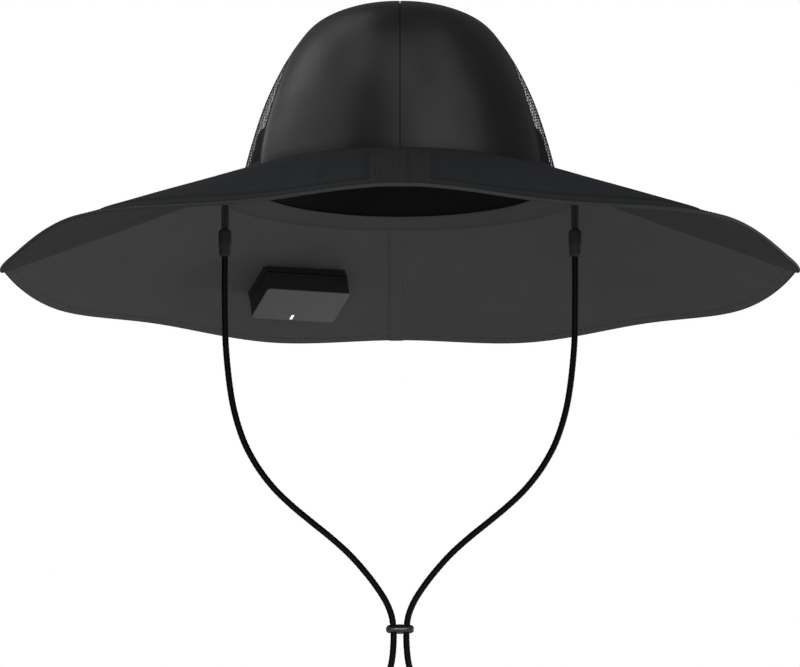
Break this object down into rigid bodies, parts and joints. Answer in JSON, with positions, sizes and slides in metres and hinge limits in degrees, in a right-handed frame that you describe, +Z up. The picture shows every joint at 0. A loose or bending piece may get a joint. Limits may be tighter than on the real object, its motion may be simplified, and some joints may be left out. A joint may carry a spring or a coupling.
{
  "type": "solar panel sun hat",
  "caption": "Wide-brimmed sun hat with solar laminates on the brim, a mesh-sided crown, a power box under the brim and a chin cord with a slider.",
  "frame": {"origin": "middle of the head opening, on the plane where the crown meets the brim", "axes": "+Z up through the crown, -Y towards the front of the hat, +X towards the wearer's left, which is on the right as seen from the front"},
  "size_m": [0.4298, 0.46, 0.3953],
  "materials": {
    "crown_cloth": "smooth coated polyester, satin",
    "crown_mesh": "open polyester net",
    "sweatband_cloth": "soft brushed band",
    "brim_cloth": "plain woven polyester, matt",
    "solar_laminate": "dark cells under a satin film",
    "box_plastic": "fine moulded grain",
    "light_lens": "white diffuser",
    "fitting_plastic": "moulded, slightly glossy",
    "cord_braid": "round braid"
  },
  "bodies": {
    "root": {"crown_front_left": "crown_cloth", "crown_front_right": "crown_cloth", "crown_mesh_side_left": "crown_mesh", "crown_mesh_side_right": "crown_mesh", "crown_mesh_back_left": "crown_mesh", "crown_mesh_back_right": "crown_mesh", "sweatband": "sweatband_cloth", "brim_left": "brim_cloth", "brim_right": "brim_cloth", "brim_strip_front": "brim_cloth", "brim_strip_back": "brim_cloth", "brim_binding": "brim_cloth", "under_brim_ring": "brim_cloth", "solar_panel_front_left": "solar_laminate", "solar_panel_front_right": "solar_laminate", "solar_panel_side_front_left": "solar_laminate", "solar_panel_side_front_right": "solar_laminate", "solar_panel_side_back_left": "solar_laminate", "solar_panel_side_back_right": "solar_laminate", "solar_panel_back_left": "solar_laminate", "solar_panel_back_right": "solar_laminate", "power_box_housing": "box_plastic", "power_box_light": "light_lens", "cord_sleeve_left": "fitting_plastic", "cord_barrel_left": "fitting_plastic", "cord_sleeve_right": "fitting_plastic", "cord_barrel_right": "fitting_plastic", "cord_slider": "fitting_plastic", "chin_cord": "cord_braid"}
  },
  "joints": []
}
